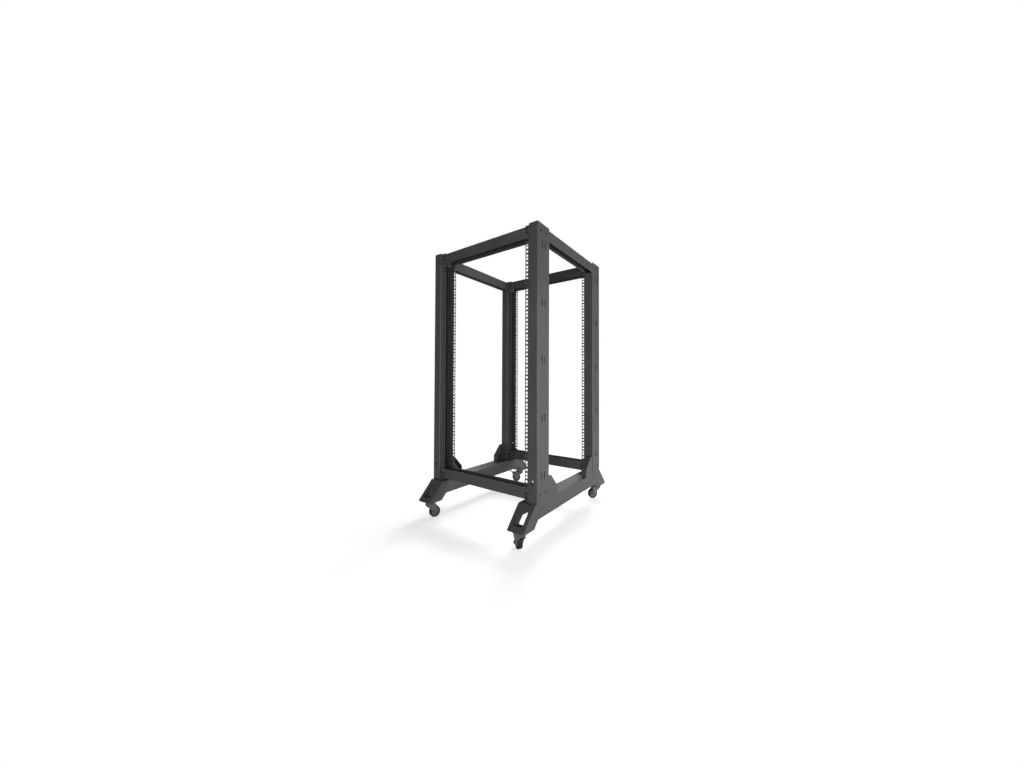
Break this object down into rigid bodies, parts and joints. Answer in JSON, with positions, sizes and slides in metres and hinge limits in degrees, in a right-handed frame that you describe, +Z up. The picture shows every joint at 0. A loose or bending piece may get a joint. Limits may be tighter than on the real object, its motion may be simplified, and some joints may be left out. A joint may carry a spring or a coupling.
{
  "type": "four post open frame rack",
  "caption": "Charcoal four post open frame equipment rack with square-hole rails, a splayed channel base and swivel casters.",
  "frame": {"origin": "the floor under the centre of the rack", "axes": "+X to the rack's right seen from the front, +Y to the back, +Z up; the front is the side that faces -Y"},
  "size_m": [0.5906, 0.7934, 1.2258],
  "materials": {
    "powder_coat": "satin",
    "caster_paint": "satin",
    "plated_steel": "satin",
    "wheel_plastic": "matte",
    "tyre_rubber": "matte"
  },
  "bodies": {
    "frame": {"post_front_left": "powder_coat", "post_front_right": "powder_coat", "post_rear_left": "powder_coat", "post_rear_right": "powder_coat", "top_beam_front": "powder_coat", "top_beam_rear": "powder_coat", "top_beam_left": "powder_coat", "top_beam_right": "powder_coat", "bottom_beam_front": "powder_coat", "bottom_beam_rear": "powder_coat", "base_channel_left": "powder_coat", "base_channel_right": "powder_coat", "foot_front_left": "powder_coat", "foot_front_right": "powder_coat", "foot_rear_left": "powder_coat", "foot_rear_right": "powder_coat", "caster_head_front_left": "caster_paint", "caster_head_front_right": "caster_paint", "caster_head_rear_left": "caster_paint", "caster_head_rear_right": "caster_paint"},
    "swivel_front_left": {"caster_fork_front_left": "caster_paint", "caster_axle_front_left": "plated_steel"},
    "wheel_front_left": {"wheel_hub_front_left": "wheel_plastic", "wheel_tyre_front_left": "tyre_rubber"},
    "swivel_front_right": {"caster_fork_front_right": "caster_paint", "caster_axle_front_right": "plated_steel", "brake_pin_front_right": "plated_steel"},
    "wheel_front_right": {"wheel_hub_front_right": "wheel_plastic", "wheel_tyre_front_right": "tyre_rubber"},
    "brake_front_right": {"brake_lever_front_right": "caster_paint"},
    "swivel_rear_left": {"caster_fork_rear_left": "caster_paint", "caster_axle_rear_left": "plated_steel", "brake_pin_rear_left": "plated_steel"},
    "wheel_rear_left": {"wheel_hub_rear_left": "wheel_plastic", "wheel_tyre_rear_left": "tyre_rubber"},
    "brake_rear_left": {"brake_lever_rear_left": "caster_paint"},
    "swivel_rear_right": {"caster_fork_rear_right": "caster_paint", "caster_axle_rear_right": "plated_steel"},
    "wheel_rear_right": {"wheel_hub_rear_right": "wheel_plastic", "wheel_tyre_rear_right": "tyre_rubber"}
  },
  "joints": [
    {"name": "swivel_front_left", "type": "hinge", "parent": "frame", "child": "swivel_front_left", "pos_m": [-0.2489, -0.361, 0.06], "axis": [0, 0, 1], "continuous": true},
    {"name": "spin_front_left", "type": "hinge", "parent": "swivel_front_left", "child": "wheel_front_left", "pos_m": [-0.24226, -0.34055, 0.025], "axis": [-0.9511, 0.309, 0], "continuous": true},
    {"name": "swivel_front_right", "type": "hinge", "parent": "frame", "child": "swivel_front_right", "pos_m": [0.2489, -0.361, 0.06], "axis": [0, 0, 1], "continuous": true},
    {"name": "brake_front_right", "type": "hinge", "parent": "swivel_front_right", "child": "brake_front_right", "pos_m": [0.21409, -0.33662, 0.052], "axis": [-0.5736, -0.8192, 0], "range_deg": [0, 12]},
    {"name": "spin_front_right", "type": "hinge", "parent": "swivel_front_right", "child": "wheel_front_right", "pos_m": [0.23129, -0.34867, 0.025], "axis": [-0.5736, -0.8192, 0], "continuous": true},
    {"name": "swivel_rear_left", "type": "hinge", "parent": "frame", "child": "swivel_rear_left", "pos_m": [-0.2489, 0.361, 0.06], "axis": [0, 0, 1], "continuous": true},
    {"name": "brake_rear_left", "type": "hinge", "parent": "swivel_rear_left", "child": "brake_rear_left", "pos_m": [-0.28146, 0.33368, 0.052], "axis": [0.6428, -0.766, 0], "range_deg": [0, 12]},
    {"name": "spin_rear_left", "type": "hinge", "parent": "swivel_rear_left", "child": "wheel_rear_left", "pos_m": [-0.26537, 0.34718, 0.025], "axis": [0.6428, -0.766, 0], "continuous": true},
    {"name": "swivel_rear_right", "type": "hinge", "parent": "frame", "child": "swivel_rear_right", "pos_m": [0.2489, 0.361, 0.06], "axis": [0, 0, 1], "continuous": true},
    {"name": "spin_rear_right", "type": "hinge", "parent": "swivel_rear_right", "child": "wheel_rear_right", "pos_m": [0.23657, 0.34339, 0.025], "axis": [0.8192, -0.5736, 0], "continuous": true}
  ]
}
